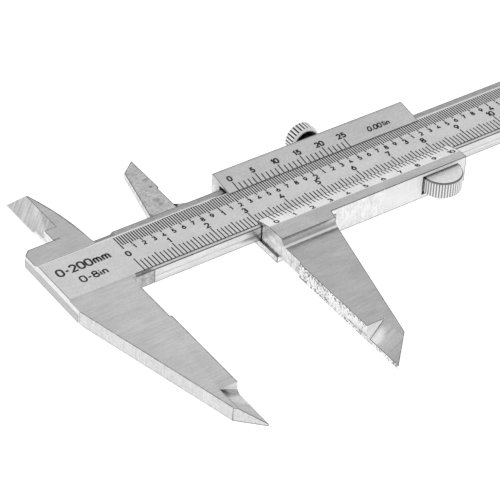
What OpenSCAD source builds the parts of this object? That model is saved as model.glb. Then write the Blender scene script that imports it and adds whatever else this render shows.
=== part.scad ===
// Vernier caliper of 200 mm, with millimetre and inch scales, inside jaws, a lock screw,
// a thumb roller and a depth rod. It lies on its back with the scales upwards.
// The drawing frame has x = 0 at the zero line of the main scale and x along the beam,
// y = 0 at the foot of the millimetre lines and z = 0 on the scale face.

/* [Beam] */
// Length of the beam past the zero line of its scale
beam_reach = 257; // [256:1:280]
// Width of the beam between its two guide edges
beam_width = 15.85; // [15.5:0.05:16.5]
// Thickness of the beam
beam_thickness = 4.1; // [4:0.05:4.4]
// How much thinner the fixed head is ground at the back
head_relief = 0.3; // [0.1:0.05:0.4]
// How far the guide edge on the millimetre side lies beyond the scale lines
lower_margin = 0.6; // [0.5:0.05:0.8]
// Drop from the scale face to the ledge and to the inside jaw
ledge_drop = 0.42; // [0.35:0.01:0.5]
// Width of the fixed head, from the zero line to its outer end
head_reach = 19.4; // [19:0.1:20]

/* [Jaws] */
// Opening between the measuring faces, which is also the reading
opening = 33; // [10:1:180]
// Reach of the outside jaws beyond the scale lines
outside_reach = 51.3; // [50:0.1:54]
// Reach of the inside jaws beyond the foot of the scale lines
inside_reach = 38.9; // [38:0.1:40]
// Distance from the zero line back to the fixed measuring face
face_setback = 3.2; // [3:0.1:3.4]
// Relief behind the measuring faces near the beam
face_relief = 0.45; // [0.3:0.05:0.6]
// Distance from the foot of the scale lines to the start of the knife edges
knife_start = 40; // [39:0.1:41]
// Width of the knife bevel on the outside jaws
knife_width = 4.5; // [4:0.1:4.8]
// Depth of the knife edges of the outside jaws below the scale face
knife_depth = 3.15; // [2.9:0.05:3.2]

/* [Slider] */
// Length of the slider's guide
slider_length = 53.4; // [53:0.1:54]
// Thickness of the plate behind the beam
back_plate = 1.65; // [1.5:0.05:1.8]
// Running gap between the slider and the beam
slide_gap = 0.05; // [0.03:0.01:0.08]
// Height of the inch vernier's ridge above the scale face
upper_ridge = 1.3; // [1.2:0.05:1.5]
// Height of the millimetre vernier's ridge above the scale face
lower_ridge = 1.2; // [1.1:0.05:1.4]
// Thickness of the spring gib
gib_thickness = 0.7; // [0.6:0.05:0.75]

/* [Lock screw] */
// Radius of the knurled head
lock_head_radius = 3.9; // [3.5:0.1:3.9]
// Length of the knurled head
lock_head_length = 2.8; // [2.4:0.1:3.2]
// Radius of the threaded shank
lock_shank_radius = 1.5; // [1.25:0.05:1.6]

/* [Thumb roller] */
// Radius of the thumb roller
roller_radius = 5; // [4.8:0.05:5.1]
// Thickness of the thumb roller
roller_thickness = 4.35; // [4.2:0.05:4.4]
// Radius of the axle it turns on
axle_radius = 1.5; // [1.2:0.05:1.6]

/* [Depth rod] */
// Width of the depth rod
rod_width = 4.6; // [4:0.1:4.8]
// Thickness of the depth rod
rod_thickness = 1.65; // [1.4:0.05:1.7]

/* [Hidden] */
$fn = 96;
through = 1;              // overshoot of a cutter past a face

// Beam section
guide_low = -lower_margin;
guide_high = beam_width - lower_margin;
beam_back = -beam_thickness;
edge_chamfer = 0.46;      // drop of the chamfer on the millimetre side
ledge_inner = 13.9;       // foot of the slope from the scale face down to the ledge
scale_top = 13.0;         // end of the flat scale face
chamfer_start = -2.5;     // the chamfer runs out into the fixed head here
jaw_drop = 0.25;          // drop from the scale face to the fixed outside jaw
jaw_slope = 0.5;          // width of the slope between those two faces
guide_notch = 0.6;        // undercut in the guide edge beside the fixed inside jaw
guide_notch_end = 1.3;
head_chamfer = 0.45;      // chamfer on the outer end of the head
head_chamfer_drop = 0.9;
head_back_chamfer = 0.6;
head_back = beam_back + head_relief;
shoulder_top = 19.4;
shoulder_cut = 1.7;       // corner cut off the shoulder

// Outside jaws, drawn from the measuring face outwards
jaw_root = 15.9;          // width of the jaw at the beam
jaw_root_y = -4.2;
root_radius = 1.6;
fixed_jaw_end = 5.3;      // width of the fixed jaw where its knife point begins
moving_jaw_end = 5.65;
relief_end = -15.5;
knife_flare = 0.27;       // growth of the radius between a knife bevel and its end wall

// Inside jaws, drawn from the knife edge outwards
inside_edge = -11.65;     // place of the knife edge when the caliper is shut
inside_point = 3.75;      // width and height of the sloping point
inside_point_drop = 3;
inside_back_radius = 69.9;        // the fixed jaw's back is round
inside_back_centre = [-62.26, 12.9];
moving_back = 7.45;       // width of the straight-backed moving jaw at its root
inside_relief_top = 27;
inside_bevel_start = 23.3;
inside_bevel_width = 3.4;
inside_depth = 3.4;       // depth of the knife edge below the scale face
inside_root = inside_edge + 7.7;

// Slider section
moving_face = -face_setback + 0.02;
slider_left = moving_face + face_relief;
slider_right = slider_left + slider_length;
plate_front = beam_back - slide_gap;
slider_back = plate_front - back_plate;
rail_low = guide_low - slide_gap;
rail_high = guide_high + 0.95;
wall_low = -5.7;
wall_high = 19.25;
low_lip = 1.2;            // edge of the millimetre vernier over the scale
high_lip = 12.3;          // edge of the inch vernier over the scale
low_ridge_y = -3.2;
high_ridge_y = 18.55;
lip_edge = 0.14;          // height of the thin edges of both verniers
moving_jaw_front = -0.35;
jaw_shelf = -8.1;         // end of the raised part above the moving jaw
jaw_fillet = lower_ridge - moving_jaw_front;
jaw_heel = -7.4;          // lower end of the back plate behind the moving jaw
heel_length = 13.4;
heel_step = 0.45;         // how far the back plate stands out beyond the slider's end
entry_length = 2.5;       // relieved entry of the guide on the millimetre side
entry_relief = 0.25;

// Lock screw and gib
lock_x = 24.9;
lock_z = -1.85;
lock_gap = 2.3;           // space between the slider and the knurled head
lock_bevel = 0.55;
gib_low = guide_high + 0.03;
gib_high = gib_low + gib_thickness;
gib_screw_x = [6, 42];
gib_screw_z = -2.2;
gib_screw_radius = 1.25;
gib_tip_radius = 0.7;
gib_ends = [1, 48];

// Thumb roller
roller_x = 43.7;
roller_y = guide_low - 0.03 - roller_radius;
roller_top = -0.15;
roller_bottom = roller_top - roller_thickness;
roller_chamfer = 0.35;
pocket_radius = roller_radius + 0.35;
pocket_top = 0.1;
pocket_corner = 1.1;
pocket_right = roller_x + pocket_radius + 0.1;
washer_thickness = 0.2;
pocket_floor = roller_bottom - washer_thickness - 0.04;
tab_radius = 3.2;
axle_top = -1.3;
axle_head = 0.5;          // depth of the riveted head

// Depth rod
rod_y = 7.4;
rod_front = plate_front + rod_thickness + 0.15;
rod_anchor = [28, 42];    // part of the rod that is fixed to the back plate
rod_screw_x = [31, 38];
groove_start = 26;
groove_gap = 0.1;

// End stop and the countersunk screws
stop_left = 250.9;
stop_screw_x = 254;
stop_screw_y = [2.3, 12.5];
screw_radius = 1.0;
screw_head_radius = 1.9;
screw_head = 0.9;
screw_slot = 0.5;
head_gap = 0.02;          // clearance round a countersunk head

steel = [0.74, 0.74, 0.73];
dark_steel = [0.62, 0.62, 0.62];
brass = [0.80, 0.66, 0.35];

// Moves the drawing frame to the library frame: the middle of the box, at its base.
module in_frame() {
    middle_x = (beam_reach + opening - head_reach) / 2;
    middle_y = (inside_reach - outside_reach) / 2;
    translate([-middle_x, -middle_y, -slider_back]) children();
}

// Moves a piece that travels with the slider to the present opening.
module on_slider() {
    in_frame() translate([opening, 0, 0]) children();
}

// Extrudes a section drawn in y and z along x, from one place to another.
module along_x(from, to) {
    translate([from, 0, 0]) rotate([90, 0, 90]) linear_extrude(to - from) children();
}

// Extrudes a section drawn in x and z along y, from one place to another.
module along_y(from, to) {
    translate([0, to, 0]) rotate([90, 0, 0]) linear_extrude(to - from) children();
}

// Outline of an outside jaw, with the measuring face on u = 0 and the jaw on u > 0.
module outside_outline(top, jaw_end) {
    polygon([
        [face_relief, top], [face_relief, relief_end + face_relief / 2], [0, relief_end],
        [0, -outside_reach], [jaw_end, jaw_end - outside_reach], [jaw_root, jaw_root_y],
        [jaw_root, top]
    ]);
}

// Outline of an inside jaw, with the knife edge on u = 0 and the jaw on u > 0. Its back goes
// from the point to the two given places.
module inside_outline(foot, back_width, back_y, foot_width) {
    polygon([
        [face_relief, foot], [face_relief, inside_relief_top], [0, inside_relief_top + 0.4],
        [0, inside_reach], [inside_point, inside_reach - inside_point_drop],
        [back_width, back_y], [foot_width, foot]
    ]);
}

module fixed_inside_outline(foot) {
    intersection() {
        inside_outline(foot, inside_point + 6, inside_reach - inside_point_drop - 3, inside_point + 6);
        translate(inside_back_centre) circle(inside_back_radius, $fn = 180);
    }
}

module moving_inside_outline(foot) {
    growth = (moving_back - inside_point) / (inside_reach - inside_point_drop - wall_high);
    inside_outline(foot, moving_back, wall_high, moving_back + growth * (wall_high - foot));
}

// Space above a knife bevel that falls from (0, top_z) to (width, edge_z). Its end wall is
// at y = 0 and it goes on towards +y. A cone rounds the corner between bevel and end wall.
module knife_space(width, top_z, edge_z) {
    fall = atan2(top_z - edge_z, width);
    run = norm([width, top_z - edge_z]) + 6;
    flare = knife_flare * run;
    axis = norm([flare, flare, run]);
    translate([0, 0, top_z]) rotate([0, fall, 0]) rotate([90, 0, 90]) {
        difference() {
            cube([30, 8, run]);
            polyhedron(
                points = [
                    [-0.001, -0.001, 0], [-0.001, -0.001, run + 1], [flare, -0.001, run + 1],
                    [flare, flare, run + 1], [-0.001, flare, run + 1]
                ],
                faces = [[0, 1, 2], [0, 2, 3], [0, 3, 4], [0, 4, 1], [4, 3, 2, 1]]
            );
        }
        rotate([0, 0, 45]) rotate([0, acos(run / axis), 0])
            cylinder(h = axis, r1 = 0, r2 = axis * tan(asin(flare / axis)));
    }
}

// Countersunk screw with its head's flat on z = 0 and its shank upwards.
module countersunk_screw(length) {
    difference() {
        union() {
            cylinder(h = length, r = screw_radius);
            cylinder(h = screw_head, r1 = screw_head_radius, r2 = screw_radius);
        }
        translate([-screw_head_radius - through, -screw_slot / 2, -through])
            cube([2 * (screw_head_radius + through), screw_slot, through + screw_slot]);
    }
}

// Hole that fits the countersunk screw.
module countersunk_hole(length) {
    translate([0, 0, -through]) cylinder(h = length + through, r = screw_radius);
    translate([0, 0, -head_gap])
        cylinder(
            h = screw_head + 2 * head_gap,
            r1 = screw_head_radius + 2 * head_gap, r2 = screw_radius
        );
}

// Graduated bar. The scale face is raised above a ledge that runs along the inch side.
module beam_bar() {
    along_x(chamfer_start, beam_reach)
        polygon([
            [guide_low, beam_back], [guide_high, beam_back], [guide_high, -ledge_drop],
            [ledge_inner, -ledge_drop], [scale_top, 0], [0, 0], [guide_low, -edge_chamfer]
        ]);
    along_x(-head_reach, chamfer_start)
        polygon([
            [guide_low, head_back], [guide_high, head_back], [guide_high, -ledge_drop],
            [ledge_inner, -ledge_drop], [scale_top, 0], [0, 0], [-jaw_slope, -jaw_drop],
            [guide_low, -jaw_drop]
        ]);
}

// Plate of the fixed head: outside jaw, shoulder and inside jaw.
module fixed_head() {
    translate([0, 0, head_back]) {
        linear_extrude(-jaw_drop - head_back) {
            translate([-face_setback, 0]) mirror([1, 0]) outside_outline(0, fixed_jaw_end);
            polygon([
                [-head_reach, 0], [-head_reach, jaw_root_y],
                [-face_setback - jaw_root, jaw_root_y], [-face_setback - jaw_root, 0]
            ]);
        }
        linear_extrude(-ledge_drop - head_back) {
            polygon([
                [-head_reach, scale_top], [-head_reach, shoulder_top - shoulder_cut],
                [-head_reach + shoulder_cut, shoulder_top], [inside_edge + 2, shoulder_top],
                [inside_root, scale_top + 2], [inside_root, scale_top]
            ]);
            translate([inside_edge, 0]) fixed_inside_outline(scale_top);
        }
    }
}

module beam() {
    color(steel) in_frame() difference() {
        union() {
            beam_bar();
            fixed_head();
        }
        // Knife bevel of the outside jaw
        translate([-face_setback - knife_width, -knife_start, 0]) mirror([0, 1, 0])
            knife_space(knife_width, -jaw_drop, -knife_depth);
        // Knife bevel of the inside jaw
        translate([inside_edge + inside_bevel_width, inside_bevel_start, 0]) mirror([1, 0, 0])
            knife_space(inside_bevel_width, -ledge_drop, -inside_depth);
        // Chamfer on the outer end of the head
        along_y(jaw_root_y, shoulder_top + through)
            polygon([
                [-head_reach - 1, 1], [-head_reach + head_chamfer, 1],
                [-head_reach + head_chamfer, 0], [-head_reach, -head_chamfer_drop],
                [-head_reach - 1, -head_chamfer_drop]
            ]);
        along_y(jaw_root_y - through, shoulder_top + through)
            polygon([
                [-head_reach - 1, head_back - 1], [-head_reach + head_back_chamfer + 1, head_back - 1],
                [-head_reach - 1, head_back + head_back_chamfer + 1]
            ]);
        // Undercut beside the fixed inside jaw
        translate([0, 0, beam_back - through]) linear_extrude(beam_thickness + 2 * through)
            polygon([
                [inside_root, guide_high - guide_notch],
                [guide_notch_end - 1, guide_high - guide_notch],
                [guide_notch_end, guide_high + 0.01], [inside_root, guide_high + 0.01]
            ]);
        // Groove for the depth rod
        translate([groove_start, rod_y - rod_width / 2 - groove_gap, beam_back - through])
            cube([
                beam_reach, rod_width + 2 * groove_gap,
                rod_front + groove_gap - beam_back + through
            ]);
        // Threaded holes for the end stop
        for (y = stop_screw_y)
            translate([stop_screw_x, y, beam_back - through])
                cylinder(h = 2.4 + through, r = screw_radius);
    }
}

// Sliding channel with the two vernier edges.
module slider_channel() {
    along_x(slider_left, slider_right)
        polygon([
            [low_lip, lip_edge], [low_ridge_y, lower_ridge], [wall_low, lower_ridge],
            [wall_low, slider_back], [wall_high, slider_back], [wall_high, upper_ridge],
            [high_ridge_y, upper_ridge], [high_lip, lip_edge], [high_lip, slide_gap],
            [rail_high, slide_gap], [rail_high, plate_front], [rail_low, plate_front],
            [rail_low, slide_gap], [low_lip, slide_gap]
        ]);
}

// Moving outside jaw, with the raised shelf that joins it to the slider.
module moving_jaw() {
    difference() {
        translate([moving_face, 0, plate_front])
            linear_extrude(moving_jaw_front - plate_front) {
                outside_outline(wall_low + 1, moving_jaw_end);
                // rounded corner between the jaw and the slider
                difference() {
                    translate([jaw_root - root_radius, wall_low - root_radius])
                        square([root_radius + 1, root_radius + 1]);
                    translate([jaw_root + 1.2, wall_low - root_radius]) circle(root_radius);
                }
            }
        translate([moving_face + knife_width, -knife_start, 0])
            mirror([0, 1, 0]) mirror([1, 0, 0])
                knife_space(knife_width, moving_jaw_front, -knife_depth);
    }
    intersection() {
        translate([moving_face, 0, moving_jaw_front - 0.5])
            linear_extrude(jaw_fillet + 0.5) outside_outline(wall_low + 1, moving_jaw_end);
        difference() {
            along_x(slider_left - through, slider_left + jaw_root + through)
                polygon([
                    [wall_low + 1, moving_jaw_front - 0.5], [wall_low + 1, lower_ridge],
                    [jaw_shelf, lower_ridge], [jaw_shelf - jaw_fillet, lower_ridge],
                    [jaw_shelf - jaw_fillet, moving_jaw_front - 0.5]
                ]);
            translate([slider_left - 2 * through, jaw_shelf - jaw_fillet, lower_ridge])
                rotate([0, 90, 0]) cylinder(h = jaw_root + 4 * through, r = jaw_fillet);
        }
    }
}

// Back plate reaching left behind the beam, its heel behind the moving outside jaw, and
// the moving inside jaw.
module moving_inside_jaw() {
    translate([0, 0, slider_back]) linear_extrude(back_plate) {
        translate([inside_edge, 0]) mirror([1, 0]) moving_inside_outline(wall_high - 4);
        polygon([
            [slider_left + heel_length, jaw_heel], [slider_left - heel_step, jaw_heel],
            [slider_left - heel_step, 1], [inside_edge - 5.5, 9],
            [inside_edge - 7.5, 13], [inside_edge - 7.35, wall_high], [inside_edge, wall_high],
            [inside_edge - 0.5, wall_high + 0.8], [inside_edge + 2.6, wall_high],
            [slider_left + heel_length, wall_high]
        ]);
    }
}

// Pocket of the thumb roller, with one corner left standing.
module roller_pocket() {
    difference() {
        translate([roller_x, roller_y, pocket_floor])
            cylinder(h = pocket_top - pocket_floor, r = pocket_radius);
        along_y(rail_low - pocket_radius, rail_low - 1)
            polygon([
                [pocket_right, pocket_top + 0.1], [pocket_right, pocket_top - pocket_corner],
                [pocket_right - pocket_corner, pocket_top + 0.1]
            ]);
    }
}

module slider_body() {
    color(steel) on_slider() difference() {
        union() {
            slider_channel();
            moving_jaw();
            moving_inside_jaw();
            // tab that carries the roller's axle
            translate([roller_x, roller_y, slider_back])
                cylinder(h = pocket_floor - slider_back, r = tab_radius);
        }
        // Relieved entry of the guide
        translate([slider_left - through, rail_low - entry_relief, plate_front])
            cube([entry_length + through, entry_relief + 0.1, slide_gap - plate_front]);
        roller_pocket();
        // Rivet hole of the axle
        translate([roller_x, roller_y, slider_back - through])
            cylinder(h = back_plate + 2 * through, r = axle_radius);
        translate([roller_x, roller_y, slider_back - 0.01])
            cylinder(h = axle_head + 0.01, r1 = axle_radius + 0.6, r2 = axle_radius);
        // Hole of the lock screw
        translate([lock_x, rail_high - through, lock_z]) rotate([-90, 0, 0])
            cylinder(h = wall_high - rail_high + 2 * through, r = lock_shank_radius + slide_gap);
        // Holes of the gib's set screws
        for (x = gib_screw_x)
            translate([x, rail_high - through, gib_screw_z]) rotate([-90, 0, 0])
                cylinder(h = wall_high - rail_high + 2 * through, r = gib_screw_radius);
        // Holes of the depth rod's screws
        for (x = rod_screw_x)
            translate([x, rod_y, slider_back]) countersunk_hole(back_plate + through);
    }
}

// Flat spring between the slider and the guide edge on the inch side.
module gib_spring() {
    color(brass) on_slider() difference() {
        translate([gib_ends[0], gib_low, beam_back + 0.1])
            cube([gib_ends[1] - gib_ends[0], gib_thickness, beam_thickness - ledge_drop - 0.2]);
        for (x = gib_screw_x)
            translate([x, gib_high - 0.3, gib_screw_z]) rotate([-90, 0, 0])
                cylinder(h = 1, r = gib_tip_radius + 0.02);
    }
}

// Two slotted set screws that load the gib.
module gib_set_screws() {
    color(dark_steel) on_slider()
        for (x = gib_screw_x)
            translate([x, 0, gib_screw_z]) difference() {
                union() {
                    translate([0, gib_high - 0.28, 0]) rotate([-90, 0, 0])
                        cylinder(h = 1, r = gib_tip_radius);
                    translate([0, rail_high - 0.15, 0]) rotate([-90, 0, 0])
                        cylinder(h = wall_high - rail_high - 0.2, r = gib_screw_radius);
                }
                translate([-through - gib_screw_radius, wall_high - 1.1, -screw_slot / 2])
                    cube([2 * (gib_screw_radius + through), 2, screw_slot]);
            }
}

// Clamping screw with a knurled head on a short neck.
module lock_screw() {
    shank_tip = gib_high + 0.1;
    head_low = wall_high + lock_gap;
    color(steel) on_slider() translate([lock_x, 0, lock_z]) rotate([-90, 0, 0])
        rotate_extrude()
            polygon([
                [0, shank_tip], [lock_shank_radius - 0.3, shank_tip],
                [lock_shank_radius, shank_tip + 0.3], [lock_shank_radius, wall_high + 0.15],
                [2.3, wall_high + 0.15], [2.3, head_low - lock_bevel + 0.3],
                [lock_head_radius - 0.75, head_low - lock_bevel],
                [lock_head_radius - 0.45, head_low - lock_bevel], [lock_head_radius, head_low],
                [lock_head_radius, head_low + lock_head_length - 0.3],
                [lock_head_radius - 0.3, head_low + lock_head_length],
                [0, head_low + lock_head_length]
            ]);
}

// Knurled wheel that rolls along the guide edge on the millimetre side.
module thumb_roller() {
    bore = axle_radius + 0.05;
    color(steel) on_slider() translate([roller_x, roller_y, 0])
        rotate_extrude()
            polygon([
                [bore, roller_bottom], [roller_radius - roller_chamfer, roller_bottom],
                [roller_radius, roller_bottom + roller_chamfer],
                [roller_radius, roller_top - roller_chamfer],
                [roller_radius - roller_chamfer, roller_top], [0, roller_top],
                [0, axle_top + 0.1], [bore, axle_top + 0.1]
            ]);
}

// Axle riveted into the tab of the back plate.
module roller_axle() {
    color(dark_steel) on_slider() translate([roller_x, roller_y, slider_back]) {
        cylinder(h = axle_top - slider_back, r = axle_radius);
        cylinder(h = axle_head, r1 = axle_radius + 0.59, r2 = axle_radius);
    }
}

// Friction washer under the thumb roller.
module roller_washer() {
    color(brass) on_slider() translate([roller_x, roller_y, pocket_floor]) difference() {
        cylinder(h = washer_thickness, r = 3);
        translate([0, 0, -through]) cylinder(h = washer_thickness + 2 * through, r = axle_radius);
    }
}

// Depth rod in the groove on the back of the beam. Its tip is notched.
module depth_rod() {
    low = rod_y - rod_width / 2;
    color(steel) on_slider() difference() {
        union() {
            translate([rod_anchor[0], low, rod_front - rod_thickness])
                cube([beam_reach - rod_anchor[0], rod_width, rod_thickness]);
            translate([rod_anchor[0], low, plate_front])
                cube([rod_anchor[1] - rod_anchor[0], rod_width, rod_thickness]);
        }
        translate([beam_reach - 4, low - through, plate_front - through])
            cube([5, 1.6 + through, 4]);
        for (x = rod_screw_x)
            translate([x, rod_y, plate_front - through])
                cylinder(h = through + 1.3, r = screw_radius);
    }
}

// Two countersunk screws that hold the depth rod to the back plate.
module depth_rod_screws() {
    color(dark_steel) on_slider()
        for (x = rod_screw_x)
            translate([x, rod_y, slider_back]) countersunk_screw(back_plate + 1.3);
}

// Plate behind the end of the beam that stops the slider.
module end_stop_plate() {
    color(steel) in_frame() difference() {
        translate([stop_left, guide_low + 0.4, slider_back])
            cube([beam_reach - stop_left, beam_width - 0.8, beam_back - slider_back]);
        for (y = stop_screw_y)
            translate([stop_screw_x, y, slider_back]) countersunk_hole(back_plate + through);
    }
}

// Two countersunk screws of the end stop.
module end_stop_screws() {
    color(dark_steel) in_frame()
        for (y = stop_screw_y)
            translate([stop_screw_x, y, slider_back])
                countersunk_screw(beam_back - slider_back + 2.3);
}

beam();
slider_body();
gib_spring();
gib_set_screws();
lock_screw();
thumb_roller();
roller_axle();
roller_washer();
depth_rod();
depth_rod_screws();
end_stop_plate();
end_stop_screws();
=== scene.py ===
import math

import bmesh
import bpy
from mathutils import Euler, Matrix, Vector


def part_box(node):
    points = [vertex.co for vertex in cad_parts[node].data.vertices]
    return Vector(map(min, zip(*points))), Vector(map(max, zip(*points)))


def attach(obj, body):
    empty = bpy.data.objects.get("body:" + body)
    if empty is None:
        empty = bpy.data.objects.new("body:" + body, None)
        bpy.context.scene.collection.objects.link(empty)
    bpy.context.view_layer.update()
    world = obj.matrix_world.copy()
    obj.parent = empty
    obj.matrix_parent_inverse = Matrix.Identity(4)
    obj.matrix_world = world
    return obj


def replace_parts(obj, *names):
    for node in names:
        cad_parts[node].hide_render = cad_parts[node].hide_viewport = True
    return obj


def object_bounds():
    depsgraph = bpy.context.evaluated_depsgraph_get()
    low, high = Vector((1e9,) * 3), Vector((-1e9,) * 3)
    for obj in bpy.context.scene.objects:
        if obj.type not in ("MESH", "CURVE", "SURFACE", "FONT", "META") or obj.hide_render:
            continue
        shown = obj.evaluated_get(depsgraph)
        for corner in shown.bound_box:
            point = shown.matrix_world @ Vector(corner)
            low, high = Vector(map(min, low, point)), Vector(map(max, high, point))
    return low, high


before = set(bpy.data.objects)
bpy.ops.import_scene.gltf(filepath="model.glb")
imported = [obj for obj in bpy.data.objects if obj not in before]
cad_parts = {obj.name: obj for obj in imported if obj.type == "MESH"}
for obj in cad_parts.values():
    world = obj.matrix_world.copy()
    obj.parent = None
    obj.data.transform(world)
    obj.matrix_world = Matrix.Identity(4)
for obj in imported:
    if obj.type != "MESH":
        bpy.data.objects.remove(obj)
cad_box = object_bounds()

# A vernier caliper on a white sweep. Lengths are in millimetres in a drawing frame that has x = 0 at the zero
# line of the main scale, y = 0 at the foot of the millimetre lines and z = 0 on the scale face. place() turns
# them to metres.
MM = 0.001
HEAD_REACH = 19.4                # scale's zero line to the end of the head
OUTSIDE_REACH = 51.3             # foot of the millimetre lines to the tips of the outside jaws
ROLLER_FROM_ZERO = 43.7          # roller's centre to the vernier's zero line

beam_low, beam_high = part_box("beam")
roller_low, roller_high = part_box("thumb_roller")
lock_low, lock_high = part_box("lock_screw")
zero = Vector((beam_low.x + HEAD_REACH * MM, beam_low.y + OUTSIDE_REACH * MM, beam_high.z))
reading = ((roller_low.x + roller_high.x) / 2 - zero.x) / MM - ROLLER_FROM_ZERO


def place(x, y, z):
    """A point of the drawing frame as a Vector in metres."""
    return zero + Vector((x, y, z)) * MM


def drawn(point):
    """A point in metres as a Vector in the drawing frame."""
    return (point - zero) / MM


# ---------------------------------------------------------------- materials
class Finish:
    """A node material with one Principled shader, and short calls for its patterns."""

    def __init__(self, name, tone, metallic=1.0, warmth=0.0):
        self.material = bpy.data.materials.new(name)
        self.material.use_nodes = True
        self.nodes = self.material.node_tree.nodes
        self.links = self.material.node_tree.links
        self.shader = self.nodes["Principled BSDF"]
        self.shader.inputs["Metallic"].default_value = metallic
        self.tone = (tone * (1 + warmth), tone, tone * (1 - warmth), 1.0)
        self.coordinates = self.nodes.new("ShaderNodeTexCoord").outputs["Object"]

    def feed(self, socket, value):
        if isinstance(value, bpy.types.NodeSocket):
            self.links.new(value, socket)
        else:
            socket.default_value = value

    def mapped(self, vector, scale=(1, 1, 1), turn=(0, 0, 0)):
        node = self.nodes.new("ShaderNodeMapping")
        self.links.new(vector, node.inputs["Vector"])
        node.inputs["Scale"].default_value = scale
        node.inputs["Rotation"].default_value = turn
        return node.outputs["Vector"]

    def noise(self, size, detail=2.0, roughness=0.5, turn=(0, 0, 0)):
        """Noise whose grains have these sizes in millimetres along the three axes, from 0 to 1."""
        vector = self.mapped(self.coordinates, turn=turn) if any(turn) else self.coordinates
        vector = self.mapped(vector, [1 / (s * MM) for s in size])
        node = self.nodes.new("ShaderNodeTexNoise")
        self.links.new(vector, node.inputs["Vector"])
        node.inputs["Scale"].default_value = 1.0
        node.inputs["Detail"].default_value = detail
        node.inputs["Roughness"].default_value = roughness
        return node.outputs["Fac"]

    def remap(self, value, low, high, to_low, to_high, smooth=False):
        node = self.nodes.new("ShaderNodeMapRange")
        if smooth:
            node.interpolation_type = "SMOOTHSTEP"
        names = ("Value", "From Min", "From Max", "To Min", "To Max")
        for name, number in zip(names, (value, low, high, to_low, to_high)):
            self.feed(node.inputs[name], number)
        return node.outputs["Result"]

    def math(self, operation, a, b):
        node = self.nodes.new("ShaderNodeMath")
        node.operation = operation
        self.feed(node.inputs[0], a)
        self.feed(node.inputs[1], b)
        return node.outputs[0]

    def product(self, *values):
        total = values[0]
        for value in values[1:]:
            total = self.math("MULTIPLY", total, value)
        return total

    def axis(self, name):
        """The drawing frame's x, y or z, in millimetres."""
        node = self.nodes.new("ShaderNodeSeparateXYZ")
        self.links.new(self.coordinates, node.inputs[0])
        i = "xyz".index(name)
        return self.math("DIVIDE", self.math("SUBTRACT", node.outputs[i], zero[i]), MM)

    def spot(self, centre, radii):
        """1 at a centre in the drawing frame, falling to 0 at the given radii."""
        scaled = [self.math("DIVIDE", self.math("SUBTRACT", self.axis(a), c), r)
                  for a, c, r in zip("xyz", centre, radii)]
        squares = [self.math("MULTIPLY", s, s) for s in scaled]
        total = self.math("ADD", self.math("ADD", squares[0], squares[1]), squares[2])
        return self.remap(total, 0.0, 1.0, 1.0, 0.0, smooth=True)

    def window(self, axis, low, high, soft):
        """1 between two places along an axis of the drawing frame, falling to 0 over a soft edge."""
        place_on = self.axis(axis)
        rise = self.remap(place_on, low - soft, low + soft, 0.0, 1.0, smooth=True)
        fall = self.remap(place_on, high - soft, high + soft, 1.0, 0.0, smooth=True)
        return self.math("MULTIPLY", rise, fall)

    def beside(self, start, end, width):
        """1 on a stroke between two (x, y) points of the drawing frame."""
        start, end = Vector(start), Vector(end)
        along = (end - start).normalized()
        across = Vector((-along.y, along.x))
        length = (end - start).length

        def project(way):
            total = self.math("ADD", self.product(self.axis("x"), way.x), self.product(self.axis("y"), way.y))
            return self.math("SUBTRACT", total, start.dot(way))

        near = self.remap(self.math("ABSOLUTE", project(across), 0.0), width * 0.4, width * 0.6, 1.0, 0.0)
        inside = self.remap(self.math("ABSOLUTE", self.math("SUBTRACT", project(along), length / 2), 0.0),
                            length / 2, length / 2 + 0.1, 1.0, 0.0)
        return self.math("MULTIPLY", near, inside)

    def outlined(self, shade, lines, factor, width=0.34):
        """Painted shade: dark lines along edges, standing for the shade of broken edges."""
        for start, end in lines:
            shade = self.tint(shade, self.beside(start, end, width), factor, patchy=0.5)
        return shade

    def tint(self, shade, mask, factor, patchy=0.0, size=(1.0, 1.0, 1.0)):
        """Multiplies the shade by a factor where the mask is 1, unevenly where patchy is above 0."""
        if patchy:
            mask = self.math("MULTIPLY", mask, self.remap(self.noise(size), 0.35, 0.6, 1 - patchy, 1.0))
        return self.math("MULTIPLY", shade, self.remap(mask, 0.0, 1.0, 1.0, factor))

    def colour(self, shade):
        """Base colour: the tone times a shade."""
        node = self.nodes.new("ShaderNodeMix")
        node.data_type = "RGBA"
        node.blend_type = "MULTIPLY"
        node.inputs["Factor"].default_value = 1.0
        node.inputs["A"].default_value = self.tone
        grey = self.nodes.new("ShaderNodeCombineColor")
        for i in range(3):
            self.feed(grey.inputs[i], shade)
        self.links.new(grey.outputs[0], node.inputs["B"])
        self.links.new(node.outputs["Result"], self.shader.inputs["Base Color"])

    def roughness(self, value):
        self.feed(self.shader.inputs["Roughness"], value)

    def bump(self, height, depth):
        """Bump from a height of 0 to 1 that stands for this depth in millimetres."""
        node = self.nodes.new("ShaderNodeBump")
        node.inputs["Strength"].default_value = 1.0
        node.inputs["Distance"].default_value = depth * MM
        self.links.new(height, node.inputs["Height"])
        self.links.new(node.outputs["Normal"], self.shader.inputs["Normal"])


LINE_DEPTH = 0.0006
STIPPLE_DEPTH = 0.0004


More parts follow.
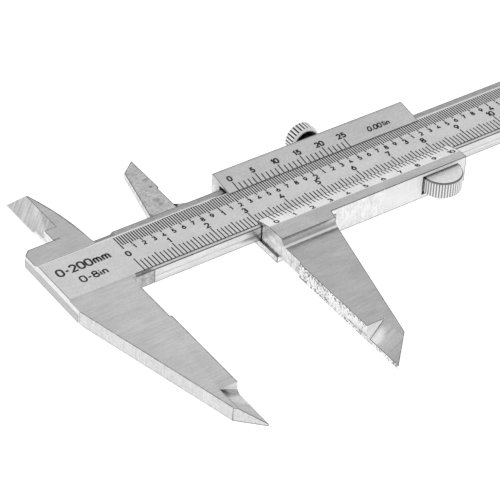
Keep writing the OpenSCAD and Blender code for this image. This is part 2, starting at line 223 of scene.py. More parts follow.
def ground_steel(name, tone, lines=0.06, grain=0.05, clouds=0.04, rough=0.36, direction=(5.0, 0.3, 0.3),
                 turn=(0, 0, 0), metallic=1.0, marks=None):
    """Satin steel: ground lines in one direction, a fine grain and soft clouds.
    marks(f, shade) adds local marks."""
    f = Finish(name, tone, metallic)
    line = f.noise(direction, detail=3.0, roughness=0.65, turn=turn)
    fine = f.noise((0.5, 0.5, 0.5), detail=2.0, roughness=0.7)
    cloud = f.noise((7.0, 5.0, 5.0), detail=3.0, roughness=0.6)
    shade = f.product(
        f.remap(line, 0.35, 0.65, 1 - lines, 1 + lines),
        f.remap(fine, 0.35, 0.65, 1 - grain, 1 + grain),
        f.remap(cloud, 0.35, 0.65, 1 - clouds, 1 + clouds))
    if marks:
        shade = marks(f, shade)
    f.colour(shade)
    f.roughness(f.remap(line, 0.2, 0.8, rough - 0.05, rough + 0.05))
    f.bump(line, LINE_DEPTH)
    return f.material


def plain_finish(name, tone, rough, warmth=0.0, metallic=1.0, grain=0.08, size=(0.3, 0.3, 0.3)):
    """An even finish with a fine stipple."""
    f = Finish(name, tone, metallic, warmth)
    stipple = f.noise(size, detail=2.0)
    f.colour(f.remap(stipple, 0.3, 0.7, 1 - grain, 1 + grain))
    f.roughness(f.remap(stipple, 0.3, 0.7, rough - 0.05, rough + 0.05))
    f.bump(stipple, STIPPLE_DEPTH)
    return f.material


def on_slider(*points):
    """Points whose x is measured from the vernier's zero line, in the drawing frame."""
    return [(reading + x, y) for x, y in points]


def path(points):
    """The straight lines that join the points in turn."""
    return list(zip(points, points[1:]))


HEAD_EDGES = (
    path([(-19.1, -4.2), (-8.5, -46.0)]) + path([(-3.65, -4.2), (-3.65, -15.3), (-3.2, -15.5), (-3.2, -40.0)])
    + path([(-7.9, 35.9), (-5.6, 27.65), (-4.3, 19.4), (-3.95, 15.3)])
    + path([(-19.4, 17.7), (-17.7, 19.4), (-9.6, 19.4)]))
MOVING_EDGES = path(on_slider((12.4, -8.6), (2.47, -45.65)))
INSIDE_EDGES = path(on_slider((-19.1, 19.3), (-15.4, 35.9), (-11.65, 38.9), (-11.65, 27.4), (-12.1, 27.0),
                              (-12.1, 19.3)))
PAST_END = 300.0                 # beyond the beam's far end


def head_marks(f, shade):
    """Darker above the scale: the head and inside jaw a little, the ledge more and its outer edge most, with
    painted shade along that edge and along the head's edges.
    """
    along_beam = f.window("x", -3.9, PAST_END, 0.1)
    ledge = f.math("MULTIPLY", f.window("y", 13.8, 15.6, 0.05), along_beam)
    ledge_edge = f.math("MULTIPLY", f.window("y", 15.05, 15.6, 0.05), along_beam)
    head = f.math("MULTIPLY", f.window("y", 13.6, 60.0, 0.2), f.window("x", -30.0, -3.9, 0.2))
    shade = f.tint(shade, head, 0.86)
    shade = f.tint(shade, ledge, 0.60, patchy=0.3)
    # Painted shade along the ledge's broken outer edge.
    shade = f.tint(shade, ledge_edge, 0.5, patchy=0.6, size=(3.0, 1.0, 1.0))
    # Painted shade along the head's broken edges.
    shade = f.outlined(shade, HEAD_EDGES, 0.35, width=0.5)
    return f.tint(shade, f.math("MULTIPLY", ledge, f.window("x", -4.0, 1.2, 0.4)), 0.75)


def slope_marks(f, shade):
    """The slope from the scale face is dark below its top edge."""
    return f.tint(shade, f.window("y", 13.42, 14.2, 0.12), 0.55)


def chamfer_marks(f, shade):
    """Dark where the chamfer runs into the fixed jaw."""
    return f.tint(shade, f.window("x", -3.0, 1.6, 0.5), 0.35, patchy=0.4)


def guide_marks(f, shade):
    """Rough root beside the fixed jaw, a line along the guide and a painted shadow near the slider."""
    root = f.window("x", -4.0, 2.1, 0.05)
    shade = f.tint(shade, root, 0.52, patchy=0.5, size=(0.6, 0.6, 0.8))
    shade = f.tint(shade, f.window("x", 2.0, 2.3, 0.08), 0.4)
    along_beam = f.window("x", 2.2, PAST_END, 0.1)
    groove = f.math("MULTIPLY", f.window("z", -2.45, -2.2, 0.1), along_beam)
    shade = f.tint(shade, groove, 0.62, patchy=0.4, size=(3.0, 1.0, 1.0))
    low = f.math("MULTIPLY", f.window("z", -4.2, -3.3, 0.3), along_beam)
    shade = f.tint(shade, low, 0.9, patchy=0.5, size=(4.0, 1.0, 1.0))
    # Painted shadow on the guide near the slider.
    return f.tint(shade, f.spot((27.5, -0.6, -2.6), (4.0, 2.0, 0.7)), 0.45, patchy=0.5)


def jaw_wall_marks(f, shade):
    """Patchy, darker near the bottom edge."""
    return f.tint(shade, f.window("z", -5.0, -3.45, 0.15), 0.75, patchy=0.7, size=(0.8, 0.8, 0.8))


def fixed_knife_marks(f, shade):
    """Painted shade in the corner at the end wall, a painted highlight towards the edge."""
    corner = f.spot((-7.6, -40.6, -0.6), (2.6, 2.6, 1.6))
    shade = f.tint(shade, corner, 0.15, patchy=0.4, size=(0.7, 0.7, 0.7))
    return f.tint(shade, f.window("y", -44.5, -41.5, 0.8), 1.3)


def moving_knife_marks(f, shade):
    """A painted highlight at the inner corner, darker at the tip."""
    shade = f.tint(shade, f.spot((reading - 2.2, -41.4, -2.6), (3.6, 3.0, 3.0)), 1.75)
    return f.tint(shade, f.window("y", -56.0, -47.0, 2.5), 0.85)


def blast_marks(f, shade):
    """Pits and stains of the cast face of the moving inside jaw."""
    pits = f.noise((0.7, 0.7, 0.7), detail=2.0, roughness=0.7)
    shade = f.math("MULTIPLY", shade, f.remap(pits, 0.3, 0.7, 0.82, 1.18))
    for x, y, radius, factor in (
            (-13.1, 28.4, 0.45, 0.2), (-12.8, 31.2, 0.9, 0.65), (-18.9, 19.5, 0.8, 0.35),
            (-14.6, 23.6, 1.2, 0.7), (-14.5, 22.0, 0.8, 0.6), (-17.4, 24.0, 1.2, 0.85)):
        shade = f.tint(shade, f.spot((reading + x, y, -4.15), (radius, radius, 1.0)), factor, patchy=0.4,
                       size=(0.4, 0.4, 0.4))
    # Lines of painted shade along the jaw's broken edges.
    return f.outlined(shade, INSIDE_EDGES, 0.4)


def lapped_marks(f, shade):
    """Black pits on the measuring face, thickest along both edges and towards the root."""
    pits = f.noise((0.45, 0.45, 0.45), detail=1.0)
    from_middle = f.math("ABSOLUTE", f.math("ADD", f.axis("z"), 2.3), 0.0)
    limit = f.remap(from_middle, 0.3, 1.8, 0.62, 0.48)
    limit = f.math("ADD", limit, f.remap(f.axis("y"), -38.0, -18.0, 0.03, -0.04))
    speck = f.remap(f.math("SUBTRACT", pits, limit), 0.0, 0.05, 0.0, 1.0)
    return f.tint(shade, speck, 0.3)


def relief_marks(f, shade):
    """Blotches and a few scars on the relieved wall."""
    blotch = f.noise((1.1, 1.1, 1.1), detail=3.0, roughness=0.7)
    shade = f.math("MULTIPLY", shade, f.remap(blotch, 0.4, 0.6, 0.78, 1.08))
    for y in (-13.9, -11.9):
        shade = f.tint(shade, f.window("y", y - 0.08, y + 0.08, 0.08), 0.45, patchy=0.5)
    return f.tint(shade, f.window("y", -14.9, -14.2, 0.3), 0.8)


def shelf_marks(f, shade):
    """The rounded step on the moving jaw: paler up its slope, with painted shade at its foot and below it, and
    along the jaw's edge.
    """
    slope = f.math("MULTIPLY", f.window("y", -9.7, -8.0, 0.1), f.window("z", 0.3, 1.15, 0.3))
    foot = f.math("MULTIPLY", f.window("y", -10.4, -9.3, 0.3), f.window("z", -1.5, 0.0, 0.2))
    shade = f.tint(shade, slope, 1.25, patchy=0.3)
    # Painted shade in the crease at the foot of the step.
    shade = f.tint(shade, foot, 0.66, patchy=0.4, size=(2.0, 0.7, 0.7))
    # Painted shade along the jaw's broken edge.
    shade = f.outlined(shade, MOVING_EDGES, 0.5)
    # More painted shade below the foot of the step.
    return f.tint(shade, f.window("y", -11.0, -9.6, 0.5), 0.72, patchy=0.7, size=(2.0, 0.7, 0.7))


def vernier_marks(f, shade):
    """Paler towards the zero line."""
    return f.math("MULTIPLY", shade, f.remap(f.axis("x"), reading, reading + 50, 1.0, 0.94))


def ridge_marks(f, shade):
    """A dark line of painted shade along the slider's inch edge."""
    return f.tint(shade, f.window("y", 19.0, 19.4, 0.06), 0.65, patchy=0.4)


def slider_wall_marks(f, shade):
    """Mottled, with painted shade of a shallow hollow beside the roller's pocket."""
    mottle = f.noise((0.8, 0.8, 1.4), detail=2.0, roughness=0.7)
    shade = f.math("MULTIPLY", shade, f.remap(mottle, 0.4, 0.6, 0.90, 1.05))
    # Painted shade of a shallow hollow beside the roller's pocket.
    return f.tint(shade, f.spot((reading + 39.2, -5.7, -1.6), (2.0, 1.0, 2.6)), 0.8)


STREAK = math.radians(-34)
ALONG_X = (7.0, 0.3, 7.0)
UPRIGHT = (0.3, 0.3, 3.0)
scale_face = ground_steel("scale_face", 0.63, lines=0.03, grain=0.06, clouds=0.03, rough=0.42)
millimetre_bevel_face = ground_steel("millimetre_bevel_face", 0.78, lines=0.03, grain=0.06, clouds=0.04,
                                     rough=0.42, marks=vernier_marks)
inch_bevel_face = ground_steel("inch_bevel_face", 0.58, lines=0.04, grain=0.07, clouds=0.05, rough=0.42)
front_face = ground_steel("front_face", 0.55, lines=0.09, grain=0.05, clouds=0.04, marks=head_marks)
slope_face = ground_steel("slope_face", 0.70, rough=0.25, marks=slope_marks)
chamfer_face = ground_steel("chamfer_face", 0.74, grain=0.10, marks=chamfer_marks)
moving_front = ground_steel("moving_front", 0.45, lines=0.10, grain=0.06, clouds=0.06, marks=shelf_marks)
ridge_face = ground_steel("ridge_face", 0.49, lines=0.07, grain=0.08, clouds=0.06, rough=0.38,
                          marks=ridge_marks)
guide_face = ground_steel("guide_face", 0.66, lines=0.09, grain=0.06, rough=0.30, direction=(6.0, 2.0, 0.3),
                          marks=guide_marks)
wall_face = ground_steel("wall_face", 0.74, lines=0.06, grain=0.05, rough=0.32, direction=UPRIGHT,
                         marks=slider_wall_marks)
fine_wall = ground_steel("fine_wall", 0.82, lines=0.03, grain=0.04, rough=0.4, direction=UPRIGHT,
                         metallic=0.2)
jaw_wall = ground_steel("jaw_wall", 0.62, lines=0.10, grain=0.08, rough=0.32, direction=UPRIGHT,
                        marks=jaw_wall_marks)
end_face = ground_steel("end_face", 0.45, lines=0.08, grain=0.07, direction=(2.0, 6.0, 0.2))
fixed_knife = ground_steel("fixed_knife", 0.46, lines=0.10, grain=0.12, direction=ALONG_X,
                           marks=fixed_knife_marks)
moving_knife = ground_steel("moving_knife", 0.50, lines=0.18, grain=0.05, direction=ALONG_X,
                            marks=moving_knife_marks)
streaked_face = ground_steel("streaked_face", 0.57, lines=0.22, grain=0.05, direction=(7.0, 0.35, 7.0),
                             turn=(0, 0, STREAK))
blasted_face = ground_steel("blasted_face", 0.52, lines=0.04, grain=0.12, clouds=0.10, rough=0.5,
                            marks=blast_marks)
lapped_face = ground_steel("lapped_face", 0.76, grain=0.10, clouds=0.08, rough=0.34, marks=lapped_marks)
relief_face = ground_steel("relief_face", 0.68, grain=0.10, rough=0.36, marks=relief_marks)
# Painted highlight: a near-white, non-metallic copy of the steel for the end walls at the knife jaws' inner
# corners.
highlight_corner = ground_steel("highlight_corner", 0.97, lines=0.02, grain=0.02, clouds=0.02, metallic=0.0)
# Painted highlight on the chamfer at the head's left end.
highlight_band = ground_steel("highlight_band", 0.74, lines=0.05, rough=0.3)
back_face = ground_steel("back_face", 0.55, lines=0.08, grain=0.05, clouds=0.06)
# Painted shade: dark strips along the sharp edges stand for the shade of broken edges and inner corners.
edge_shade = ground_steel("edge_shade", 0.16, grain=0.25, clouds=0.2, rough=0.4)
rod_steel = ground_steel("rod_steel", 0.6, lines=0.1, rough=0.3, direction=(15.0, 0.3, 0.3))
knurl_steel = plain_finish("knurl_steel", 0.74, 0.25)
# Painted shade in the grooves of the knurls: darker on the roller, near black on the lock screw.
groove_shade = plain_finish("groove_shade", 0.33, 0.4)
deep_groove_shade = plain_finish("deep_groove_shade", 0.07, 0.4)
chamfer_steel = plain_finish("chamfer_steel", 0.22, 0.3)
turned_steel = plain_finish("turned_steel", 0.80, 0.36, metallic=0.6, grain=0.10, size=(0.6, 0.6, 0.6))
dark_steel = plain_finish("dark_steel", 0.2, 0.4)
# Painted shadow on the lock screw's collar and the underside of its head.
neck_shadow = plain_finish("neck_shadow", 0.03, 0.5, grain=0.5)
bronze = plain_finish("bronze", 0.55, 0.35, warmth=0.25)
black_fill = plain_finish("black_fill", 0.012, 0.7, metallic=0.0, grain=0.5)


# ---------------------------------------------------------------- pieces from the frame
def new_object(name, mesh):
    piece = bpy.data.objects.new(name, mesh)
    bpy.context.scene.collection.objects.link(piece)
    return piece


def new_piece(name, mesh, body):
    """A new piece rides on its body."""
    piece = new_object(name, mesh)
    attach(piece, body)
    return piece


FLAT_ANGLE = math.radians(0.3)   # faces that meet at less than this are one face
SMOOTH_ANGLE = math.radians(20)
EDGE_ANGLE = math.radians(28)    # edges sharper than this get a line
MERGE = 2e-6                     # metres
LEAST_SINE = 0.05                # stops a strip's corner from running far into a sharp point
LEAST_LEFT = 0.05                # share of each edge that has to be left inside its strip
WALL_SEAM = 27.2                 # the slider's wall takes a paler, less metallic finish with fainter lines from here, measured as on_slider does


def can_inset(face, width):
    """Whether a strip of this width fits inside all the face's edges."""
    inner = [loop.vert.co + loop.calc_tangent() * (width / max(LEAST_SINE, math.sin(loop.calc_angle() / 2)))
             for loop in face.loops]
    for i, loop in enumerate(face.loops):
        along = loop.link_loop_next.vert.co - loop.vert.co
        if (inner[(i + 1) % len(inner)] - inner[i]).dot(along) <= LEAST_LEFT * along.length_squared:
            return False
    return True


def worked_piece(node, name, body, materials, choose, line=0.16, seam=None):
    """Stands for a CAD node: its own shape, with a material for each face and thin strips of the last
    material along the sharp edges. choose(centre, normal) gives a face's material, with the centre in the
    drawing frame. A seam is a place along x where faces are split in two."""
    mesh = bpy.data.meshes.new(name)
    bm = bmesh.new()
    bm.from_mesh(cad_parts[node].data)
    bmesh.ops.remove_doubles(bm, verts=bm.verts, dist=MERGE)
    bmesh.ops.dissolve_limit(bm, angle_limit=FLAT_ANGLE, verts=bm.verts, edges=bm.edges)
    if seam is not None:
        bmesh.ops.bisect_plane(bm, geom=list(bm.verts) + list(bm.edges) + list(bm.faces), dist=MERGE,
                               plane_co=place(seam, 0, 0), plane_no=(1, 0, 0))
    bmesh.ops.recalc_face_normals(bm, faces=bm.faces)
    for face in bm.faces:
        face.material_index = materials.index(choose(drawn(face.calc_center_median()), face.normal))
    width = line * MM
    lined = [f for f in bm.faces if f.calc_area() > 2 * width * f.calc_perimeter() and can_inset(f, width)]
    strips = bmesh.ops.inset_individual(bm, faces=lined, thickness=width, use_even_offset=True)["faces"]
    # Strips along edges sharper than EDGE_ANGLE take the last material, painted shade of the broken edges.
    for face in strips:
        if any(len(e.link_faces) == 2 and e.calc_face_angle() > EDGE_ANGLE for e in face.edges):
            face.material_index = len(materials) - 1
    for face in bm.faces:
        face.smooth = True
    bm.to_mesh(mesh)
    bm.free()
    for material in materials:
        mesh.materials.append(material)
    mesh.set_sharp_from_angle(angle=SMOOTH_ANGLE)
    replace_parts(new_piece(name, mesh, body), node)


def beam_face(centre, normal):
    x, y, z = centre
    if normal.z < -0.9:
        return back_face
    if normal.z > 0.99:
        return scale_face if z > -0.1 else front_face
    if normal.z > 0.3:
        if 12.9 < y < 14:
            return slope_face
        if -1 < y < 0.2:
            return chamfer_face if x > -3 else front_face
        if y > 23:
            return streaked_face
        if y < -40:
            return fixed_knife
    if -41.5 < y < -38 and normal.y < -0.3 and x > -9:
        return highlight_corner
    if normal.x < -0.3 and x < -18:
        return highlight_band if normal.z > 0.3 else end_face
    if y > 20 and x < -5 and normal.z > 0.05:
        return end_face
    if y < -4 and normal.x < -0.1:
        return jaw_wall
    return guide_face if -1 < y < 0 else wall_face


def slider_face(centre, normal):
    x, y, z = centre
    x -= reading
    if normal.z < -0.9:
        return back_face
    if y > 19.5 and normal.z > 0.8:
        return blasted_face
    if -41.5 < y < -38 and normal.y < -0.3:
        return highlight_corner
    if y < -40 and normal.z > 0.3:
        return moving_knife
    if normal.x < -0.9 and x < 1:
        return lapped_face if y < -15.5 else relief_face
    if normal.z > 0.999:
        return ridge_face if z > 1.0 and y > -6 else moving_front
    if normal.z > 0.9:
        return millimetre_bevel_face if y < 5 else inch_bevel_face
    if normal.z > 0.02 and -10 < y < -8:
        return moving_front
    return fine_wall if x > WALL_SEAM and y < -5.5 else wall_face


def only(material):
    """A choice that gives every face the same material."""
    return lambda centre, normal: material


BEAM_MATERIALS = [scale_face, front_face, slope_face, chamfer_face, guide_face, wall_face, jaw_wall, end_face,
                  fixed_knife, streaked_face, highlight_corner, highlight_band, back_face, edge_shade]
SLIDER_MATERIALS = [millimetre_bevel_face, inch_bevel_face, moving_front, ridge_face, wall_face, fine_wall,
                    moving_knife, blasted_face, lapped_face, relief_face, highlight_corner, back_face, edge_shade]
worked_piece("beam", "beam_and_fixed_jaws", "beam", BEAM_MATERIALS, beam_face)
worked_piece("slider_body", "slider_and_moving_jaws", "slider", SLIDER_MATERIALS, slider_face,
             seam=reading + WALL_SEAM)
worked_piece("depth_rod", "depth_rod_blade", "slider", [rod_steel], only(rod_steel))
worked_piece("end_stop_plate", "stop_plate", "beam", [back_face], only(back_face))
for node, body, slot, name in (
        ("gib_set_screws", "slider", "screw_steel", "gib_screw_pair"),
        ("depth_rod_screws", "slider", "screw_steel", "rod_screw_pair"),
        ("end_stop_screws", "beam", "screw_steel", "stop_screw_pair"),
        ("roller_axle", "slider", "screw_steel", "roller_rivet")):
    worked_piece(node, name, body, [dark_steel], only(dark_steel), line=0.05)
worked_piece("gib_spring", "gib_strip", "slider", [bronze], only(bronze))
worked_piece("roller_washer", "roller_spring_washer", "slider", [bronze], only(bronze),
             line=0.03)


# ---------------------------------------------------------------- knurled pieces
KNURL_ANGLE = math.radians(24)


def turned_mesh(name, profile, teeth, depth, per_tooth, to_point, materials):
    """A closed turned shape. profile has (radius, height, knurl, material index) from one end of the axis to
    the other, where knurl from 0 to 1 says how deep the straight knurl is cut there. to_point(r, angle,
    height) places it. The grooves of the knurl take the last material."""
    bm = bmesh.new()
    count = teeth * per_tooth
    rings = []
    for radius, height, knurl, _ in profile:
        if radius == 0:
            rings.append([bm.verts.new(to_point(0, 0, height))])
            continue
        ring = []
        for i in range(count):
            groove = (0.5 + 0.5 * math.cos(math.tau * i / per_tooth)) ** 1.6
            ring.append(bm.verts.new(to_point(radius - depth * knurl * groove, math.tau * i / count, height)))
        rings.append(ring)
    for (low, high), (_, _, _, slot) in zip(zip(rings, rings[1:]), profile[1:]):
        for i in range(count):
            j = (i + 1) % count
            corners = [low[i % len(low)], low[j % len(low)], high[j % len(high)], high[i % len(high)]]
            face = bm.faces.new(list(dict.fromkeys(corners)))
            # Faces in the knurl's grooves take the last material, a painted shade.
            in_groove = math.cos(math.tau * (i + 0.5) / per_tooth) > 0.2
            face.material_index = len(materials) - 1 if slot == 0 and in_groove and len(low) > 1 else slot
            face.smooth = True
    bmesh.ops.recalc_face_normals(bm, faces=bm.faces)
    mesh = bpy.data.meshes.new(name)
    bm.to_mesh(mesh)
    bm.free()
    for material in materials:
        mesh.materials.append(material)
    mesh.set_sharp_from_angle(angle=KNURL_ANGLE)
    return mesh


def knurled_roller():
    centre = (roller_low + roller_high) / 2
    radius = (roller_high.x - roller_low.x) / 2 / MM
    height = (roller_high.z - roller_low.z) / MM
    chamfer, rim = 0.35, 0.08
    bore, bore_depth = 1.55, height - 0.85
    profile = [
        (0, bore_depth, 0, 1), (bore, bore_depth, 0, 1), (bore, 0, 0, 1), (radius - chamfer, 0, 0, 1),
        (radius - rim, chamfer - rim, 0, 2), (radius, chamfer, 0.5, 0), (radius, chamfer + 0.12, 1, 0),
        (radius, height - chamfer - 0.12, 1, 0), (radius, height - chamfer, 0.5, 0),
        (radius - rim, height - chamfer + rim, 0, 2), (radius - chamfer, height, 0, 2),
        (radius - chamfer - 0.12, height, 0, 1), (0, height, 0, 1)]

    def to_point(r, angle, h):
        return Vector((centre.x + r * MM * math.cos(angle), centre.y + r * MM * math.sin(angle),
                       roller_low.z + h * MM))

    mesh = turned_mesh("knurled_roller", profile, 46, 0.2, 8, to_point,
                       [knurl_steel, turned_steel, chamfer_steel, groove_shade])
    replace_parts(new_piece("knurled_roller", mesh, "roller"), "thumb_roller")


def knurled_lock_screw():
    centre = (lock_low + lock_high) / 2
    radius = (lock_high.x - lock_low.x) / 2 / MM
    length = (lock_high.y - lock_low.y) / MM
    head, bevel = 2.8, 0.55
    head_low = length - head
    # The collar starts at 3.0 here and at 3.32 in the CAD, so it sits 0.17 mm inside the slider's wall.
    profile = [
        (0, 0, 0, 1), (1.2, 0, 0, 1), (1.5, 0.3, 0, 1), (1.5, 3.0, 0, 1), (2.3, 3.0, 0, 2),
        (2.3, head_low - bevel + 0.3, 0, 2), (radius - 0.75, head_low - bevel, 0, 2),
        (radius - 0.45, head_low - bevel, 0, 1), (radius - 0.06, head_low - 0.08, 0, 1),
        (radius, head_low, 0.4, 0), (radius, head_low + 0.12, 1, 0),
        (radius, length - 0.4, 1, 0), (radius, length - 0.3, 0.5, 0),
        (radius - 0.3, length, 0, 1), (radius - 0.8, length, 0, 1), (radius - 1.1, length - 0.15, 0, 1),
        (0, length - 0.15, 0, 1)]

    def to_point(r, angle, h):
        return Vector((centre.x + r * MM * math.cos(angle), lock_low.y + h * MM,
                       centre.z + r * MM * math.sin(angle)))

    mesh = turned_mesh("knurled_lock_screw", profile, 27, 0.3, 10, to_point,
                       [knurl_steel, turned_steel, neck_shadow, deep_groove_shade])
    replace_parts(new_piece("knurled_lock_screw", mesh, "lock"), "lock_screw")


knurled_roller()
knurled_lock_screw()


# ---------------------------------------------------------------- graduations and numbers
def arc(cx, cy, rx, ry, start, stop, steps=10):
    """Points of an ellipse's arc, with the angles in degrees."""
    angles = [math.radians(start + (stop - start) * i / steps) for i in range(steps + 1)]
    return [(cx + rx * math.cos(a), cy + ry * math.sin(a)) for a in angles]


# Each glyph is a list of strokes in a box 1 high. A stroke that ends where it starts is closed.
GLYPHS = {
    "0": [arc(0.29, 0.69, 0.29, 0.31, 0, 180) + arc(0.29, 0.31, 0.29, 0.31, 180, 360) + [(0.58, 0.69)]],
    "1": [[(0.02, 0.74), (0.26, 1.0), (0.26, 0.0)]],
    "2": [arc(0.28, 0.70, 0.27, 0.30, 165, -35) + [(0.0, 0.0), (0.58, 0.0)]],
    "3": [arc(0.27, 0.74, 0.26, 0.26, 150, -80) + [(0.2, 0.52)], arc(0.26, 0.27, 0.31, 0.27, 88, -155, 12)],
    "4": [[(0.40, 1.0), (0.0, 0.26), (0.62, 0.26)], [(0.45, 0.50), (0.45, 0.0)]],
    "5": [[(0.53, 1.0), (0.10, 1.0), (0.06, 0.55)] + arc(0.26, 0.32, 0.31, 0.32, 130, -150, 12)],
    "6": [arc(0.29, 0.32, 0.29, 0.32, 120, 480, 18), [(0.44, 1.0), (0.14, 0.60), (0.04, 0.46)]],
    "7": [[(0.0, 1.0), (0.56, 1.0), (0.18, 0.0)]],
    "8": [arc(0.29, 0.76, 0.24, 0.24, -90, 270, 14), arc(0.29, 0.27, 0.29, 0.27, 90, 450, 14)],
    "9": [arc(0.29, 0.68, 0.29, 0.32, -60, 300, 18), [(0.14, 0.0), (0.44, 0.40), (0.54, 0.54)]],
    "i": [[(0.05, 0.0), (0.05, 0.62)], [(0.05, 0.80), (0.05, 0.94)]],
    "n": [[(0.05, 0.0), (0.05, 0.66)],
          [(0.05, 0.50)] + arc(0.25, 0.44, 0.20, 0.22, 140, 0, 6) + [(0.45, 0.0)]],
    "m": [[(0.05, 0.0), (0.05, 0.66)],
          [(0.05, 0.50)] + arc(0.21, 0.46, 0.16, 0.20, 140, 0, 6) + [(0.37, 0.0)],
          [(0.37, 0.46)] + arc(0.53, 0.46, 0.16, 0.20, 140, 0, 6) + [(0.69, 0.0)]],
    "-": [[(0.04, 0.42), (0.36, 0.42)]],
    ".": [[(0.06, 0.0), (0.06, 0.14)]],
}
ADVANCE = {"1": 0.52, "i": 0.30, "n": 0.68, "m": 0.92, "-": 0.60, ".": 0.32}
DIGIT_ADVANCE = 0.80
LIFT = 0.008                     # how far the black fill stands above the steel
SINK = 0.06                      # how far it reaches below the steel


def surface(inner, outer):
    """Height of a sloping band between two (y, z) points."""
    (y0, z0), (y1, z1) = inner, outer
    return lambda y: z0 + (z1 - z0) * (y - y0) / (y1 - y0)


def flat(y):
    """Height of the scale face."""
    return 0.0


millimetre_bevel = surface((1.2, 0.14), (-3.2, 1.2))
inch_bevel = surface((12.3, 0.14), (18.55, 1.3))


class Engraving:
    """Black-filled lines and numbers on one body, as one mesh of thin closed strips."""

    def __init__(self, height):
        self.bm = bmesh.new()
        self.height = height

    def stroke(self, points, width):
        points = [Vector(p) for p in points]
        closed = (points[0] - points[-1]).length < 1e-6
        if closed:
            points.pop()
        rows = []
        for i, point in enumerate(points):
            before = points[i - 1] if closed or i else None
            after = points[(i + 1) % len(points)] if closed or i + 1 < len(points) else None
            ways = [(b - a).normalized() for a, b in ((before, point), (point, after)) if a and b]
            way = sum(ways, Vector((0, 0))).normalized()
            side = Vector((-way.y, way.x))
            miter = 1 / max(0.5, abs(side.dot(Vector((-ways[0].y, ways[0].x)))))
            ends = [point + side * width / 2 * miter, point - side * width / 2 * miter]
            rows.append([self.bm.verts.new(place(x, y, self.height(y) + lift))
                         for lift in (LIFT, -SINK) for x, y in ends])
        for (a, b, c, d), (e, f, g, h) in zip(rows, rows[1:] + (rows[:1] if closed else [])):
            for face in ((a, b, f, e), (c, g, h, d), (a, e, g, c), (b, d, h, f)):
                self.bm.faces.new(face)
        if not closed:
            for a, b, c, d in (rows[0], rows[-1]):
                self.bm.faces.new((a, c, d, b))

    def line(self, x, y0, y1, width):
        self.stroke([(x, y0), (x, y1)], width)

    def text(self, words, x, y, height, width, stretch=1.0, slant=0.0):
        """Writes words centred on (x, y)."""
        advances = [ADVANCE.get(c, DIGIT_ADVANCE) * height * stretch for c in words]
        left = x - (sum(advances) - 0.2 * height * stretch) / 2
        for character, advance in zip(words, advances):
            for strokes in GLYPHS[character]:
                self.stroke([(left + (px * stretch + (py - 0.5) * slant) * height, y + (py - 0.5) * height)
                             for px, py in strokes], width)
            left += advance

    def finish(self, name, body):
        bmesh.ops.recalc_face_normals(self.bm, faces=self.bm.faces)
        mesh = bpy.data.meshes.new(name)
        self.bm.to_mesh(mesh)
        self.bm.free()
        mesh.materials.append(black_fill)
        new_piece(name, mesh, body)


INCH = 25.4
FINE, CLOSE = 0.29, 0.31         # widths of the millimetre and the inch lines
BOLD, SMALL = 0.42, 0.36         # widths of the numbers' strokes


def main_millimetre_scale():
    marks = Engraving(flat)
    for i in range(251):
        marks.line(i, 0.0, 4.55 if i % 10 == 0 else 3.99 if i % 5 == 0 else 3.45, FINE)
    for i in range(1, 26):
        marks.text(str(i), 10 * i, 5.7, 1.5, BOLD)
    marks.text("0", -0.05, 6.55, 1.5, BOLD)
    marks.finish("main_scale_millimetres", "beam")


def main_inch_scale():
    marks = Engraving(flat)
    for i in range(393):
        length = 8.44 if i % 40 == 0 else 8.95 if i % 4 == 0 else 9.6
        marks.line(i * INCH / 40, length, 12.78, CLOSE)
    for tenth in range(1, 99):
        if tenth % 10:
            marks.text(str(tenth % 10), tenth * INCH / 10, 8.0, 1.15, SMALL)
        else:
            marks.text(str(tenth // 10), tenth * INCH / 10, 7.4, 1.5, BOLD)
    for start, end in ((12.4, 16.8), (17.3, 21.8), (25.4, 27.4)):     # ink left along the edge
        marks.stroke([(start, 12.84), (end, 12.84)], 0.14)
    marks.finish("main_scale_inches", "beam")


def millimetre_vernier():
    marks = Engraving(millimetre_bevel)
    for i in range(51):
        marks.line(reading + 0.98 * i, 1.18, -1.05 if i % 5 == 0 else -0.55, FINE)
    for i in range(11):
        marks.text(str(i), reading + 4.9 * i, -2.2, 1.17, SMALL, stretch=1.25)
    marks.finish("vernier_millimetres", "slider")


def inch_vernier():
    marks = Engraving(inch_bevel)
    step = 49 * INCH / 40 / 25
    for i in range(26):
        marks.line(reading + step * i, 12.33, 15.05 if i % 5 == 0 else 14.4, FINE)
    for i in range(0, 26, 5):
        marks.text(str(i), reading + step * i, 16.2, 1.28, BOLD, stretch=1.17)
    marks.text("0.001in", reading + 41.1, 15.1, 1.25, SMALL, stretch=1.2, slant=0.2)
    marks.finish("vernier_inches", "slider")


def range_marks():
    marks = Engraving(flat)
    marks.text("0-200mm", -10.3, 8.6, 2.2, 0.5, stretch=1.08)
    marks.text("0-8in", -10.2, 4.4, 1.9, 0.42, stretch=1.15)
    marks.finish("range_marks", "beam")


main_millimetre_scale()
main_inch_scale()
millimetre_vernier()
inch_vernier()
range_marks()


# ---------------------------------------------------------------- studio
FLOOR_SIZE = 6.0
FLOOR_GAP = 0.0002


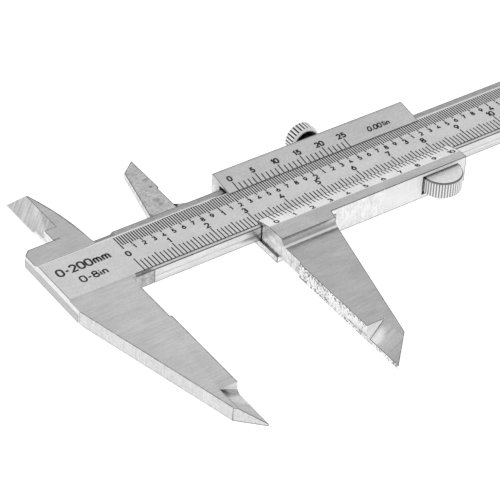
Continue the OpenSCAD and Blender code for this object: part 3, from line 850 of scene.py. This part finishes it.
def floor():
    mesh = bpy.data.meshes.new("floor")
    half = FLOOR_SIZE / 2
    height = cad_box[0][2] - FLOOR_GAP
    corners = [(-half, -half, height), (half, -half, height), (half, half, height), (-half, half, height)]
    mesh.from_pydata(corners, [], [(0, 1, 2, 3)])
    piece = new_object("floor", mesh)
    paper = Finish("white_paper", 0.25, metallic=0.0)
    fibre = paper.noise((2.0, 2.0, 2.0))
    paper.colour(paper.remap(fibre, 0.3, 0.7, 0.99, 1.0))
    paper.shader.inputs["Roughness"].default_value = 0.9
    paper.shader.inputs["Emission Color"].default_value = (1, 1, 1, 1)
    paper.shader.inputs["Emission Strength"].default_value = 1.0
    mesh.materials.append(paper.material)


def sky():
    """A soft dome, brightest in the direction of +Y, behind the caliper."""
    world = bpy.data.worlds.new("studio")
    bpy.context.scene.world = world
    world.use_nodes = True
    nodes, links = world.node_tree.nodes, world.node_tree.links
    coordinates = nodes.new("ShaderNodeTexCoord")
    split = nodes.new("ShaderNodeSeparateXYZ")
    ramp = nodes.new("ShaderNodeValToRGB")
    links.new(coordinates.outputs["Generated"], split.inputs[0])
    across = nodes.new("ShaderNodeMapRange")
    links.new(split.outputs["Y"], across.inputs["Value"])
    across.inputs["From Min"].default_value = -1.0
    links.new(across.outputs["Result"], ramp.inputs["Fac"])
    stops = ((0.0, 0.62), (0.35, 0.58), (0.64, 0.70), (0.78, 0.76), (0.87, 0.77), (0.97, 1.0))
    while len(ramp.color_ramp.elements) < len(stops):
        ramp.color_ramp.elements.new(0.5)
    for element, (at, level) in zip(ramp.color_ramp.elements, stops):
        element.position = at
        element.color = (level, level, level, 1)
    links.new(ramp.outputs["Color"], nodes["Background"].inputs["Color"])
    nodes["Background"].inputs["Strength"].default_value = 1.25


def camera():
    data = bpy.data.cameras.new("camera")
    data.lens = 180.51
    data.sensor_width = 36.0
    data.clip_start = 0.01
    eye = bpy.data.objects.new("camera", data)
    bpy.context.scene.collection.objects.link(eye)
    eye.location = place(-229.216, -347.803, 342.608)
    eye.rotation_euler = Euler([math.radians(a) for a in (51.05953, -2.26693, -34.62871)])
    bpy.context.scene.camera = eye


floor()
sky()
camera()
bpy.context.scene.view_settings.view_transform = "Standard"
